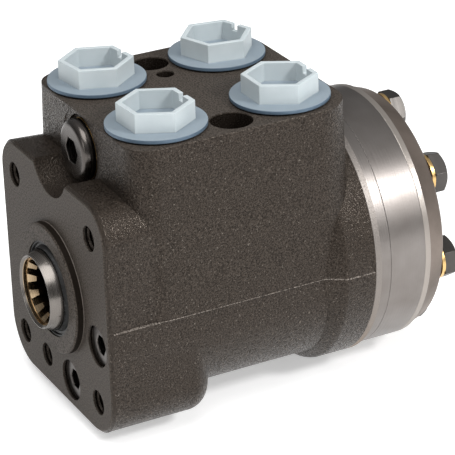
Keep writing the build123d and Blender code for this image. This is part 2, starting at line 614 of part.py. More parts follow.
# ---------------------------------------------------------------- cardan shaft
# Drawn straight along Y and then tilted about the cross pin to meet the rotor's centre.
with BuildPart() as cardan_shaft:
    cardan_spline_front = RIM_FRONT + CARDAN_SPLINE_START
    cardan_end = cardan_spline_front + CARDAN_SPLINE_LENGTH
    cardan_tip_r = ROTOR_SPLINE_MAJOR_R - SPLINE_GAP - 0.1
    cardan_root_r = ROTOR_SPLINE_MINOR_R - SPLINE_GAP - 0.2
    cardan_body = [(0, CARDAN_HEAD_FRONT), (CARDAN_HEAD_R, CARDAN_HEAD_FRONT),
                   (CARDAN_HEAD_R, CARDAN_HEAD_BACK - CARDAN_NECK_RAMP), (CARDAN_NECK_R, CARDAN_HEAD_BACK),
                   (CARDAN_NECK_R, cardan_spline_front), (cardan_root_r, cardan_spline_front),
                   (cardan_root_r, cardan_end), (0, cardan_end)]
    revolve(outline(cardan_body), axis=Axis.Y)
    tooth_pitch = 2 * pi * (ROTOR_SPLINE_MAJOR_R + ROTOR_SPLINE_MINOR_R) / 2 / SPLINE_TEETH
    cardan_tooth = tooth_pitch - ROTOR_SPLINE_TOOTH - 2 * SPLINE_GAP
    with BuildSketch(front(cardan_spline_front)):
        with PolarLocations((cardan_root_r + cardan_tip_r) / 2, SPLINE_TEETH):
            Rectangle(cardan_tip_r - cardan_root_r + 0.6, cardan_tooth)
        Circle(cardan_tip_r, mode=Mode.INTERSECT)
    extrude(amount=-CARDAN_SPLINE_LENGTH)
    # Fork: its floor stands back from the pin, so that the shaft can tilt both ways
    fork_floor = PIN_Y + PIN_R + CARDAN_SLOT_EXTRA
    with BuildSketch(Plane.YZ.offset(-CARDAN_HEAD_R)):
        with Locations(((CARDAN_HEAD_FRONT + fork_floor) / 2, 0)):
            Rectangle(fork_floor - CARDAN_HEAD_FRONT, 2 * (PIN_R + FIT))
    extrude(amount=2 * CARDAN_HEAD_R, mode=Mode.SUBTRACT)
cardan_shaft.part = cardan_shaft.part.rotate(Axis((0, PIN_Y, 0), (1, 0, 0)), CARDAN_TILT)
finish(cardan_shaft, "cardan_shaft")

spacer_back = RIM_BACK - END_PLAY
with BuildPart() as cardan_spacer:
    spacer = ring(0, ROTOR_SPLINE_MINOR_R - SPACER_PLAY, spacer_back - SPACER_LENGTH, spacer_back)
    revolve(outline(spacer, z=ECCENTRICITY), axis=along(z=ECCENTRICITY))
finish(cardan_spacer, "cardan_spacer")

# ---------------------------------------------------------------- gear set
slot_middle = (PLATE_SLOT_START + PLATE_SLOT_END) / 2
with BuildPart() as distributor_plate:
    with BuildSketch(front(REAR_FACE)):
        Circle(GEAR_SET_R)
        Circle(PLATE_BORE_R, mode=Mode.SUBTRACT)
        with PolarLocations(BOLT_CIRCLE_R, BOLTS, start_angle=90):
            Circle(BOLT_HOLE_R, mode=Mode.SUBTRACT)
        with PolarLocations(slot_middle, CHANNELS, start_angle=90 + BOLT_STEP / 2):
            SlotOverall(PLATE_SLOT_END - PLATE_SLOT_START, 2 * CHANNEL_R, mode=Mode.SUBTRACT)
    extrude(amount=-PLATE_THICKNESS)
    plate_groove = ring(SEAL_INNER_R, SEAL_OUTER_R, RIM_FRONT - SEAL_HEIGHT, RIM_FRONT)
    revolve(outline(plate_groove), axis=Axis.Y, mode=Mode.SUBTRACT)
finish(distributor_plate, "distributor_plate")

# Outer gear: its seven round lobes stand round the bolts
with BuildPart() as gear_rim:
    with BuildSketch(front(RIM_FRONT)):
        Circle(GEAR_SET_R)
        Circle(RIM_ROOT_R, mode=Mode.SUBTRACT)
        with PolarLocations(LOBE_CIRCLE_R, LOBES, start_angle=90):
            Circle(LOBE_R)
        Circle(GEAR_SET_R, mode=Mode.INTERSECT)
        with PolarLocations(BOLT_CIRCLE_R, BOLTS, start_angle=90):
            Circle(BOLT_HOLE_R, mode=Mode.SUBTRACT)
    extrude(amount=-RIM_WIDTH)
finish(gear_rim, "gear_rim")


def rotor_point(turn):
    """Point of the rotor's outline: the curve that keeps touching all seven lobes of the outer gear."""
    ratio = LOBE_CIRCLE_R / (ECCENTRICITY * LOBES)
    lean = atan2(sin((1 - LOBES) * turn), ratio - cos((1 - LOBES) * turn))
    reach = LOBE_R + ROTOR_PLAY
    across = LOBE_CIRCLE_R * cos(turn) - reach * cos(turn + lean) - ECCENTRICITY * cos(LOBES * turn)
    up = LOBE_CIRCLE_R * sin(turn) - reach * sin(turn + lean) - ECCENTRICITY * sin(LOBES * turn)
    return (-up, across + ECCENTRICITY)


# Inner gear: one lobe fewer than the outer one, standing off-centre against its top lobe
rotor_arcs = ROTOR_LOBE_ARCS * (LOBES - 1)
rotor_length = RIM_WIDTH - 2 * END_PLAY
with BuildPart() as rotor:
    with BuildSketch(front(RIM_FRONT + END_PLAY)):
        with BuildLine():
            for number in range(rotor_arcs):
                first, middle, last = [2 * pi * (number + part) / rotor_arcs for part in (0, 0.5, 1)]
                ThreePointArc(rotor_point(first), rotor_point(middle), rotor_point(last))
        make_face()
        with Locations((0, ECCENTRICITY)):
            Circle(ROTOR_SPLINE_MAJOR_R, mode=Mode.SUBTRACT)
    extrude(amount=-rotor_length)
    tooth_reach = ROTOR_SPLINE_MAJOR_R - ROTOR_SPLINE_MINOR_R
    with BuildSketch(front(RIM_FRONT + END_PLAY)):
        with Locations((0, ECCENTRICITY)):
            with PolarLocations(ROTOR_SPLINE_MINOR_R + tooth_reach / 2 + 0.2, SPLINE_TEETH, start_angle=15):
                Rectangle(tooth_reach + 0.4, ROTOR_SPLINE_TOOTH)
    extrude(amount=-rotor_length)
finish(rotor, "rotor")

# ---------------------------------------------------------------- end cover, its seals and bolts
with BuildPart() as end_cover:
    cover = [(0, RIM_BACK), (GEAR_SET_R, RIM_BACK), (GEAR_SET_R, RIM_BACK + COVER_BAND),
             (GEAR_SET_R - COVER_STEP, RIM_BACK + COVER_BAND), (COVER_BACK_R, COVER_BACK), (0, COVER_BACK)]
    revolve(outline(cover), axis=Axis.Y)
    chamfer(end_cover.faces().sort_by(Axis.Y)[-1].edges(), COVER_EDGE)
    with BuildSketch(front(RIM_BACK)):
        with PolarLocations(BOLT_CIRCLE_R, BOLTS, start_angle=90):
            Circle(BOLT_HOLE_R)
    extrude(amount=-COVER_THICKNESS, mode=Mode.SUBTRACT)
    cover_groove = ring(SEAL_INNER_R, SEAL_OUTER_R, RIM_BACK, RIM_BACK + SEAL_HEIGHT)
    revolve(outline(cover_groove), axis=Axis.Y, mode=Mode.SUBTRACT)
finish(end_cover, "end_cover")

seal_places = {"housing_seal": REAR_FACE - SEAL_HEIGHT, "plate_seal": RIM_FRONT - SEAL_HEIGHT,
               "cover_seal": RIM_BACK + SEAT_GAP}
for seal_name, seal_y in seal_places.items():
    seal = tube(SEAL_INNER_R + FIT, SEAL_OUTER_R - FIT, seal_y, seal_y + SEAL_HEIGHT - SEAT_GAP)
    finish(seal, seal_name)

with BuildPart() as bolt_washers:
    with BuildSketch(front(COVER_BACK)):
        with PolarLocations(BOLT_CIRCLE_R, BOLTS, start_angle=90):
            Circle(WASHER_R)
            Circle(BOLT_HOLE_R, mode=Mode.SUBTRACT)
    extrude(amount=-WASHER_THICKNESS)
finish(bolt_washers, "bolt_washers")

# One bolt is drawn at the shaft and set round the bolt circle
head_front = COVER_BACK + WASHER_THICKNESS
head_back = head_front + BOLT_HEAD_HEIGHT
head_corner = BOLT_HEAD_AF / sqrt(3)
with BuildPart() as one_bolt:
    add(hex_bar(BOLT_HEAD_AF, head_front, BOLT_HEAD_HEIGHT))
    head_form = [(0, head_front), (head_corner, head_front), (head_corner, head_back - BOLT_HEAD_CHAMFER),
                 (BOLT_HEAD_AF / 2 - BOLT_FACE_STEP, head_back), (0, head_back)]
    revolve(outline(head_form), axis=Axis.Y, mode=Mode.INTERSECT)
    bolt_end = REAR_FACE - BOLT_DEPTH + BOLT_END_ROOM
    revolve(outline(ring(0, BOLT_R, bolt_end, head_front)), axis=Axis.Y)
with BuildPart() as cover_bolts:
    for number in range(BOLTS):
        bolt_x, bolt_z = on_circle(BOLT_CIRCLE_R, 90 + BOLT_STEP * number)
        with Locations(Location((bolt_x, 0, bolt_z), (0, BOLT_TURN * number, 0))):
            add(one_bolt.part)
finish(cover_bolts, "cover_bolts")

# ---------------------------------------------------------------- relief valve
plug_front = BLOCK_FRONT - RELIEF_HEAD_PROUD
plug_seat = plug_front + RELIEF_HEAD
with BuildPart() as relief_plug:
    shank_r = RELIEF_THREAD_R - THREAD_GAP
    plug_body = [(0, plug_front), (RELIEF_HEAD_R, plug_front), (RELIEF_HEAD_R, plug_seat),
                 (shank_r, plug_seat), (shank_r, RELIEF_SHANK_END), (0, RELIEF_SHANK_END)]
    revolve(outline(plug_body, z=RELIEF_Z), axis=along(z=RELIEF_Z))
    fillet(relief_plug.faces().sort_by(Axis.Y)[0].edges(), RELIEF_RIM_ROUND)
    add(hex_bar(RELIEF_SOCKET_AF, plug_front, RELIEF_SOCKET_DEPTH, z=RELIEF_Z), mode=Mode.SUBTRACT)
finish(relief_plug, "relief_plug")

relief_washer = tube(RELIEF_THREAD_R, RELIEF_HEAD_R, plug_seat, plug_seat + RELIEF_WASHER, z=RELIEF_Z)
finish(relief_washer, "relief_washer")

relief_spring = coil_spring(0, RELIEF_Z, RELIEF_SHANK_END, RELIEF_GUIDE_Y, RELIEF_SPRING_R, RELIEF_WIRE,
                            RELIEF_TURNS)
finish(relief_spring, "relief_spring")

with BuildPart() as relief_poppet:
    guide_back = RELIEF_GUIDE_Y + RELIEF_GUIDE
    cone_start = RELIEF_SEAT_Y - (RELIEF_CONE_R - RELIEF_SEAT_BORE) - SEAT_GAP
    poppet = [(0, RELIEF_GUIDE_Y - RELIEF_PILOT), (RELIEF_PILOT_R, RELIEF_GUIDE_Y - RELIEF_PILOT),
              (RELIEF_PILOT_R, RELIEF_GUIDE_Y), (RELIEF_CHAMBER_R - RUN, RELIEF_GUIDE_Y),
              (RELIEF_CHAMBER_R - RUN, guide_back), (RELIEF_STEM_R, guide_back),
              (RELIEF_STEM_R, cone_start - RELIEF_CONE_RIM), (RELIEF_CONE_R, cone_start - RELIEF_CONE_RIM),
              (RELIEF_CONE_R, cone_start), (0, cone_start + RELIEF_CONE_R)]
    revolve(outline(poppet, z=RELIEF_Z), axis=along(z=RELIEF_Z))
finish(relief_poppet, "relief_poppet")

relief_seat = tube(RELIEF_SEAT_BORE, RELIEF_CHAMBER_R - FIT, RELIEF_SEAT_Y,
                   RELIEF_SEAT_Y + RELIEF_SEAT_LENGTH, z=RELIEF_Z)
finish(relief_seat, "relief_seat")

# ---------------------------------------------------------------- shock valve screws and check valve
shock_screw_back = SHOCK_SCREW_FRONT + SHOCK_SCREW_LENGTH
with BuildPart() as shock_screws:
    for valve_x, valve_z in SHOCK_PLACES:
        add(tube(0, SHOCK_BORE_R - THREAD_GAP, SHOCK_SCREW_FRONT, shock_screw_back, valve_x, valve_z).part)
        add(hex_bar(SHOCK_SOCKET_AF, SHOCK_SCREW_FRONT, SHOCK_SOCKET_DEPTH, valve_x, valve_z),
            mode=Mode.SUBTRACT)
finish(shock_screws, "shock_screws")

ball_y = ball_front(CHECK_SEAT_Y, CHECK_SEAT_BORE, CHECK_BALL_R)
with BuildPart() as check_ball:
    with Locations((CHECK_PLACE[0], ball_y, CHECK_PLACE[1])):
        Sphere(CHECK_BALL_R)
finish(check_ball, "check_ball")

check_bushing = tube(CHECK_BUSHING_BORE, CHECK_BORE_R - THREAD_GAP, CHECK_BUSHING_FRONT, CHECK_BUSHING_BACK,
                     *CHECK_PLACE)
finish(check_bushing, "check_bushing")

# ---------------------------------------------------------------- plastic port plugs
# Each one is a flanged cup with a hexagonal wall, pushed into its port by a hollow shank.
plug_under = BLOCK_TOP + PLUG_STEP
plug_floor = plug_under + PLUG_FLANGE
for plug_name, plug_turn in PLUG_TURNS.items():
    plug_x = PORT_X if plug_name.endswith("right") else -PORT_X
    plug_y = PORT_FRONT_Y if plug_name.startswith("front") else PORT_REAR_Y
    with BuildPart() as plug:
        with BuildSketch(Plane.XY.offset(BLOCK_TOP - PLUG_SHANK_LENGTH)):
            Circle(PORT_THREAD_R - PLUG_SHANK_PLAY)
            Circle(PORT_THREAD_R - PLUG_SHANK_PLAY - PLUG_WALL, mode=Mode.SUBTRACT)
        extrude(amount=PLUG_SHANK_LENGTH)
        with BuildSketch(Plane.XY.offset(BLOCK_TOP)):
            Circle(PLUG_STEP_R)
        extrude(amount=PLUG_STEP)
        with BuildSketch(Plane.XY.offset(plug_under)):
            Circle(PLUG_FLANGE_R)
        extrude(amount=PLUG_FLANGE)
        with BuildSketch(Plane.XY.offset(plug_floor)):
            RegularPolygon(PLUG_HEX_AF / 2, 6, major_radius=False)
            RegularPolygon(PLUG_HEX_AF / 2 - PLUG_WALL, 6, major_radius=False, mode=Mode.SUBTRACT)
        extrude(amount=PLUG_HEX_HEIGHT)
        with Locations((0, PLUG_HEX_AF / 2, plug_floor + PLUG_HEX_HEIGHT)):
            Box(PLUG_NOTCH, 2 * PLUG_WALL + 1, 2 * PLUG_NOTCH, mode=Mode.SUBTRACT)
    plug.part = plug.part.rotate(Axis.Z, plug_turn).translate((plug_x, plug_y, 0))
    finish(plug, f"plug_{plug_name}")
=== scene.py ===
import json
from math import radians

import bpy
from mathutils import Matrix, Vector


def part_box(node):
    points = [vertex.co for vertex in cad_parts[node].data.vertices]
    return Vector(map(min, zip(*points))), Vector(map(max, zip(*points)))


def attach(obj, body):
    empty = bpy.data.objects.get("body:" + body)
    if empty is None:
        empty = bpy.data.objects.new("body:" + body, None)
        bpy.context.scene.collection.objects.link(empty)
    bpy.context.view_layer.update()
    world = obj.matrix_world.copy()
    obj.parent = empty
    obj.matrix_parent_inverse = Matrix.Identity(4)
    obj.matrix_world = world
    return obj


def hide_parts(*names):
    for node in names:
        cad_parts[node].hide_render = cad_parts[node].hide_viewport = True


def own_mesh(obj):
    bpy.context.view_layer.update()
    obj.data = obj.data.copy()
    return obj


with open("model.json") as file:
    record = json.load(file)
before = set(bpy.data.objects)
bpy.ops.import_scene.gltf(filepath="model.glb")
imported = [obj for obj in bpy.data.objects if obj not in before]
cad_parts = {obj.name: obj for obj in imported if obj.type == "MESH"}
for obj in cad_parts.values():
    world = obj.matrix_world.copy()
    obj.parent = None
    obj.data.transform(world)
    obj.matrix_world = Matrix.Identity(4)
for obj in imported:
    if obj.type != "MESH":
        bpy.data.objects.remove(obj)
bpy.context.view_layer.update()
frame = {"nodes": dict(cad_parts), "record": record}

# ---------------------------------------------------------------- cast housing
# One grey iron casting, shot-blasted and phosphated to a dark brown grey, with a fine sandy grain.
# Its front face, spigot, top face and rear rim are machined afterwards and stay smoother and greyer.


def socket(group, name, kind, way, value=None):
    """One named input or output of a node group."""
    made = group.interface.new_socket(name=name, in_out=way, socket_type=kind)
    if value is not None:
        made.default_value = value
    return made


def add_node(tree, kind, place, **settings):
    """A shader node at a place of the node editor, with its settings."""
    node = tree.nodes.new(kind)
    node.location = place
    for name, value in settings.items():
        setattr(node, name, value)
    return node


def feed(tree, value, target):
    """Feeds one input from a socket, or sets it to a plain value."""
    if isinstance(value, bpy.types.NodeSocket):
        tree.links.new(value, target)
    else:
        target.default_value = value


def join(tree, place, operation, first, second):
    """One sum, product or other plain operation; each side is a socket or a number."""
    node = add_node(tree, "ShaderNodeMath", place, operation=operation)
    feed(tree, first, node.inputs[0])
    feed(tree, second, node.inputs[1])
    return node.outputs[0]


def product(tree, place, *masks):
    """What lies in all of several masks."""
    whole = masks[0]
    for mask in masks[1:]:
        whole = join(tree, place, "MULTIPLY", whole, mask)
    return whole


def stretch(tree, place, value, gain, shift):
    """A value times a gain plus a shift, kept within 0 and 1."""
    node = add_node(tree, "ShaderNodeMath", place, operation="MULTIPLY_ADD", use_clamp=True)
    tree.links.new(value, node.inputs[0])
    node.inputs[1].default_value = gain
    node.inputs[2].default_value = shift
    return node.outputs[0]


def noise(tree, place, vector, scale, detail):
    """Smooth noise in space; its scale comes from a socket."""
    node = add_node(tree, "ShaderNodeTexNoise", place)
    node.inputs["Detail"].default_value = detail
    tree.links.new(vector, node.inputs["Vector"])
    tree.links.new(scale, node.inputs["Scale"])
    return node.outputs["Fac"]


SPECK_COARSENESS = 0.8
SPECK_TOP = 0.76
SPECK_SHARPNESS = 14.0


def grain_group():
    """Sandy grain: a fine grain, a coarse cloud and sparse specks, all from one position."""
    group = bpy.data.node_groups.new("sandy grain", "ShaderNodeTree")
    socket(group, "Vector", "NodeSocketVector", "INPUT")
    socket(group, "Grain per metre", "NodeSocketFloat", "INPUT", 1500.0)
    socket(group, "Cloud per metre", "NodeSocketFloat", "INPUT", 60.0)
    socket(group, "Speck share", "NodeSocketFloat", "INPUT", 0.02)
    for name in ("Grain", "Cloud", "Specks"):
        socket(group, name, "NodeSocketFloat", "OUTPUT")
    start = add_node(group, "NodeGroupInput", (-600, 0))
    end = add_node(group, "NodeGroupOutput", (500, 0))
    vector = start.outputs["Vector"]
    per_metre = start.outputs["Grain per metre"]
    fine = noise(group, (-300, 200), vector, per_metre, detail=3.0)
    cloud = noise(group, (-300, -50), vector, start.outputs["Cloud per metre"], detail=4.0)
    coarser = join(group, (-480, -320), "MULTIPLY", per_metre, SPECK_COARSENESS)
    cells = noise(group, (-300, -300), vector, coarser, detail=1.0)
    limit = join(group, (-100, -420), "SUBTRACT", SPECK_TOP, start.outputs["Speck share"])
    above = join(group, (80, -300), "SUBTRACT", cells, limit)
    specks = stretch(group, (260, -300), above, gain=SPECK_SHARPNESS, shift=0.0)
    group.links.new(fine, end.inputs["Grain"])
    group.links.new(cloud, end.inputs["Cloud"])
    group.links.new(specks, end.inputs["Specks"])
    return group


def band_group():
    """Mask of what lies between two positions along one axis, with soft ends."""
    group = bpy.data.node_groups.new("band mask", "ShaderNodeTree")
    for name in ("Position", "From", "To", "Softness"):
        socket(group, name, "NodeSocketFloat", "INPUT")
    socket(group, "Mask", "NodeSocketFloat", "OUTPUT")
    start = add_node(group, "NodeGroupInput", (-600, 0))
    end = add_node(group, "NodeGroupOutput", (500, 0))
    sides = []
    for row, first, second in ((150, "Position", "From"), (-150, "To", "Position")):
        distance = join(group, (-350, row), "SUBTRACT", start.outputs[first], start.outputs[second])
        share = join(group, (-150, row), "DIVIDE", distance, start.outputs["Softness"])
        sides.append(stretch(group, (30, row), share, gain=1.0, shift=0.5))
    group.links.new(product(group, (260, 0), *sides), end.inputs["Mask"])
    return group


sandy_grain = grain_group()
band_mask = band_group()


def new_finish(name, metallic, roughness):
    """A material with its Principled shader and the piece's own position."""
    finish = bpy.data.materials.new(name)
    finish.use_nodes = True
    tree = finish.node_tree
    shader = tree.nodes["Principled BSDF"]
    shader.inputs["Metallic"].default_value = metallic
    shader.inputs["Roughness"].default_value = roughness
    place = add_node(tree, "ShaderNodeTexCoord", (-1400, 0))
    return finish, tree, shader, place.outputs["Object"]


def grain_of(tree, place, position, **inputs):
    """The sandy grain at a position, with its plain inputs set."""
    node = add_node(tree, "ShaderNodeGroup", place, node_tree=sandy_grain)
    tree.links.new(position, node.inputs["Vector"])
    for name, value in inputs.items():
        node.inputs[name.replace("_", " ")].default_value = value
    return node.outputs


BAND_SOFTNESS = 0.0002
BEYOND = 1.0  # further out than any face of the unit


def between(tree, place, position, low, high, softness=BAND_SOFTNESS):
    """Band mask of one coordinate."""
    band = add_node(tree, "ShaderNodeGroup", place, node_tree=band_mask)
    tree.links.new(position, band.inputs["Position"])
    band.inputs["From"].default_value = low
    band.inputs["To"].default_value = high
    band.inputs["Softness"].default_value = softness
    return band.outputs["Mask"]


def axes_of(tree, place, position):
    """The X, Y and Z of a position."""
    axes = add_node(tree, "ShaderNodeSeparateXYZ", place)
    tree.links.new(position, axes.inputs[0])
    return axes.outputs


def off_axis(tree, place, position, centre, across):
    """How far a position is from a line through a centre; across picks the two axes across the line."""
    away = add_node(tree, "ShaderNodeVectorMath", place, operation="SUBTRACT")
    away.inputs[1].default_value = centre
    flat = add_node(tree, "ShaderNodeVectorMath", place, operation="MULTIPLY")
    flat.inputs[1].default_value = across
    reach = add_node(tree, "ShaderNodeVectorMath", place, operation="LENGTH")
    tree.links.new(position, away.inputs[0])
    tree.links.new(away.outputs[0], flat.inputs[0])
    tree.links.new(flat.outputs[0], reach.inputs[0])
    return reach.outputs["Value"]


def mix_colour(tree, place, factor, first, second):
    """Mix of two colours, each a socket or plain values; 6, 7 and 2 are the node's colour sockets."""
    mix = add_node(tree, "ShaderNodeMix", place, data_type="RGBA")
    feed(tree, factor, mix.inputs[0])
    feed(tree, first, mix.inputs[6])
    feed(tree, second, mix.inputs[7])
    return mix.outputs[2]


def span(tree, place, value, low, high):
    """A 0 to 1 value spread over a range."""
    spread = add_node(tree, "ShaderNodeMapRange", place)
    spread.inputs["To Min"].default_value = low
    spread.inputs["To Max"].default_value = high
    tree.links.new(value, spread.inputs["Value"])
    return spread.outputs["Result"]


def raise_grain(tree, shader, height, strength, distance):
    """Relief of a fine height on the surface."""
    bump = add_node(tree, "ShaderNodeBump", (-250, -400))
    bump.inputs["Strength"].default_value = strength
    bump.inputs["Distance"].default_value = distance
    tree.links.new(height, bump.inputs["Height"])
    tree.links.new(bump.outputs["Normal"], shader.inputs["Normal"])


WELD = 0.000002
FLAT_TURN = radians(0.5)
SHARP_TURN = radians(28.0)


def worked_copy(node, name, edge):
    """A welded copy of a CAD piece whose sharp edges are broken by a small round."""
    bpy.ops.object.select_all(action="DESELECT")
    piece = bpy.data.objects.new(name, frame["nodes"][node].data.copy())
    bpy.context.collection.objects.link(piece)
    bpy.context.view_layer.objects.active = piece
    piece.select_set(True)
    bpy.ops.object.mode_set(mode="EDIT")
    bpy.ops.mesh.select_all(action="SELECT")
    bpy.ops.mesh.remove_doubles(threshold=WELD)
    bpy.ops.mesh.dissolve_limited(angle_limit=FLAT_TURN)
    bpy.ops.object.mode_set(mode="OBJECT")
    if edge > 0:
        rounding = piece.modifiers.new("broken edges", "BEVEL")
        rounding.width = edge
        rounding.segments = 2
        rounding.limit_method = "ANGLE"
        rounding.angle_limit = SHARP_TURN
        bpy.ops.object.modifier_apply(modifier=rounding.name)
    bpy.ops.object.shade_smooth_by_angle(angle=SHARP_TURN)
    if edge > 0:
        facing = piece.modifiers.new("large faces lead", "WEIGHTED_NORMAL")
        facing.keep_sharp = True
        bpy.ops.object.modifier_apply(modifier=facing.name)
    return piece


def dress(piece, node, finish):
    """Gives a piece its finish and lets it stand for its CAD node."""
    piece.data.materials.clear()
    piece.data.materials.append(finish)
    bodies = frame["record"]["behaviour"]["bodies"]
    body = next(name for name, nodes in bodies.items() if node in nodes)
    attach(piece, body)
    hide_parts(node)


housing_low, housing_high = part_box("housing")
cast_iron, tree, shader, position = new_finish("cast iron, machined faces", 0.0, 0.5)
shader.inputs["Specular Tint"].default_value = (1.0, 0.86, 0.74, 1)
side_x, along_y, up_z = axes_of(tree, (-2300, -250), position)
out_x = join(tree, (-2100, -150), "ABSOLUTE", side_x, 0.0)
out_z = join(tree, (-2100, -320), "ABSOLUTE", up_z, 0.0)
corner = join(tree, (-1900, -320), "ADD", out_x, out_z)

# Sandy skin in two browns, with paler specks
CAST_DARK = (0.0068, 0.0048, 0.0035, 1)
CAST_LIGHT = (0.038, 0.030, 0.024, 1)
CAST_SPECK = (0.125, 0.11, 0.095, 1)
grain = grain_of(tree, (-1150, 250), position, Grain_per_metre=1900.0, Cloud_per_metre=45.0,
                 Speck_share=0.085)
sand_shade = stretch(tree, (-1000, 520), grain["Grain"], gain=4.2, shift=-1.68)
casting = mix_colour(tree, (-850, 300), sand_shade, CAST_DARK, CAST_LIGHT)
casting = mix_colour(tree, (-650, 300), grain["Specks"], casting, CAST_SPECK)

# The mould's parting line runs along both sides, broken here and there
PARTING_LINE_AND_FOOT_HIGHLIGHT = (0.24, 0.21, 0.185, 1)
PARTING_HALF = 0.00022
PARTING_FRONT = 0.0018
PARTING_REAR = 0.0945
SIDES_FROM = 0.036
parting = product(tree, (-1500, 500),
                  between(tree, (-1700, 500), up_z, -PARTING_HALF, PARTING_HALF),
                  between(tree, (-1700, 700), out_x, SIDES_FROM, BEYOND),
                  between(tree, (-1700, 900), along_y, PARTING_FRONT, PARTING_REAR),
                  stretch(tree, (-1350, 700), grain["Grain"], gain=4.0, shift=-1.5))
casting = mix_colour(tree, (-500, 450), parting, casting, PARTING_LINE_AND_FOOT_HIGHLIGHT)

# Milled front and top face, turned rear rim
MACHINED_DARK = (0.028, 0.0235, 0.0195, 1)
MACHINED_LIGHT = (0.082, 0.069, 0.059, 1)
REAR_RIM_STEEL = (0.22, 0.20, 0.185, 1)
REAR_RIM_WIDTH = 0.0022
FACE_SKIN = 0.0003
front_face = between(tree, (-1700, -100), along_y, -BEYOND, FACE_SKIN)
top_face = between(tree, (-1700, -300), up_z, housing_high.z - FACE_SKIN, BEYOND)
rear_rim = between(tree, (-1700, -500), along_y, housing_high.y - REAR_RIM_WIDTH, BEYOND)
flat_faces = join(tree, (-1500, -200), "MAXIMUM", front_face, top_face)
worked_faces = join(tree, (-1200, -420), "MAXIMUM", flat_faces, rear_rim)
milled = mix_colour(tree, (-850, 50), sand_shade, MACHINED_DARK, MACHINED_LIGHT)
machined = mix_colour(tree, (-450, 200), flat_faces, casting, milled)
machined = mix_colour(tree, (-300, 200), rear_rim, machined, REAR_RIM_STEEL)

# Spigot wall: painted shade darkens the turned wall to near black, and a painted highlight lines its foot
# Near black painted shade, used on the spigot wall and in the holes
PAINTED_SHADE_BLACK = (0.012, 0.0092, 0.0072, 1)
SPIGOT_TOP = -0.0023
SPIGOT_FOOT = -0.0003
FOOT_END = -0.00005
spigot_wall_shade = between(tree, (-1700, -700), along_y, SPIGOT_TOP, SPIGOT_FOOT)
spigot_foot = between(tree, (-1700, -900), along_y, SPIGOT_FOOT, FOOT_END, softness=0.0001)
foot_highlight = join(tree, (-300, 50), "MULTIPLY", spigot_foot, 0.6)
machined = mix_colour(tree, (-150, 200), spigot_wall_shade, machined, PAINTED_SHADE_BLACK)
# Painted highlight: a thin bright line at the spigot's foot, in the parting line's colour
machined = mix_colour(tree, (-100, 100), foot_highlight, machined, PARTING_LINE_AND_FOOT_HIGHLIGHT)

# Holes of the front face: painted shade darkens their walls to near black, but not in the scoop before
# the relief valve's plug
FRONT_HOLES_START = 0.0007
FRONT_HOLES_DEPTH = 0.029
FRONT_HOLES_REACH = 0.0388
FRONT_HOLES_CORNER = 0.068
SCOOP_HALF = 0.016
SCOOP_LOWEST = 0.031
scoop = product(tree, (-1500, -2900),
                between(tree, (-1700, -2900), up_z, SCOOP_LOWEST, BEYOND),
                between(tree, (-1700, -3050), out_x, -BEYOND, SCOOP_HALF))
in_front = product(tree, (-1500, -700),
                   between(tree, (-1700, -1100), along_y, FRONT_HOLES_START, FRONT_HOLES_DEPTH),
                   between(tree, (-1700, -1300), out_x, -BEYOND, FRONT_HOLES_REACH),
                   between(tree, (-1700, -1500), out_z, -BEYOND, FRONT_HOLES_REACH),
                   between(tree, (-1700, -1700), corner, -BEYOND, FRONT_HOLES_CORNER),
                   join(tree, (-1350, -2900), "SUBTRACT", 1.0, scoop))

# The three threaded holes of the top face: place across, place along and radius
TOP_HOLES = ((0.0305, 0.05075, 0.0070), (-0.0274, 0.05075, 0.0062), (-0.0163, 0.05075, 0.0031))
TOP_HOLES_FLOOR = 0.035
TOP_HOLES_LIP = 0.0006
WALL_SKIN = 0.0002
holes = in_front
for number, (hole_x, hole_y, hole_r) in enumerate(TOP_HOLES):
    row = -1900 - 300 * number
    reach = off_axis(tree, (-1900, row), position, (hole_x, hole_y, 0), (1, 1, 0))
    inside = product(tree, (-1300, row),
                     between(tree, (-1450, row), reach, -BEYOND, hole_r + WALL_SKIN),
                     between(tree, (-1450, row - 150), up_z, TOP_HOLES_FLOOR,
                             housing_high.z - TOP_HOLES_LIP))
    holes = join(tree, (-1150, row), "MAXIMUM", holes, inside)
# Painted shade: the walls of the front and top holes are darkened to near black
shaded_hole_walls = mix_colour(tree, (0, 200), holes, machined, PAINTED_SHADE_BLACK)
tree.links.new(shaded_hole_walls, shader.inputs["Base Color"])

# Specks and rear rim are bare metal; worked faces are even and dull, and the darkened hole walls shine a
# little
BARE_METAL = 0.9
WORKED_GLOSS = 0.46
HOLE_WALL_SHINE = 0.15
bare = join(tree, (-600, -150), "MAXIMUM", rear_rim, grain["Specks"])
metal_share = join(tree, (-450, -150), "MULTIPLY", bare, BARE_METAL)
tree.links.new(metal_share, shader.inputs["Metallic"])
sheen = span(tree, (-450, -300), flat_faces, low=0.24, high=0.07)
tree.links.new(sheen, shader.inputs["Specular IOR Level"])
glints = stretch(tree, (-650, -20), grain["Grain"], gain=-1.8, shift=1.2)
worked_gloss = join(tree, (-650, -150), "MULTIPLY", worked_faces, WORKED_GLOSS)
gloss = join(tree, (-450, 0), "MAXIMUM", glints, worked_gloss)
hole_wall_shine = join(tree, (-450, -20), "MULTIPLY", holes, HOLE_WALL_SHINE)
gloss = join(tree, (-300, 0), "SUBTRACT", gloss, hole_wall_shine)
tree.links.new(gloss, shader.inputs["Roughness"])

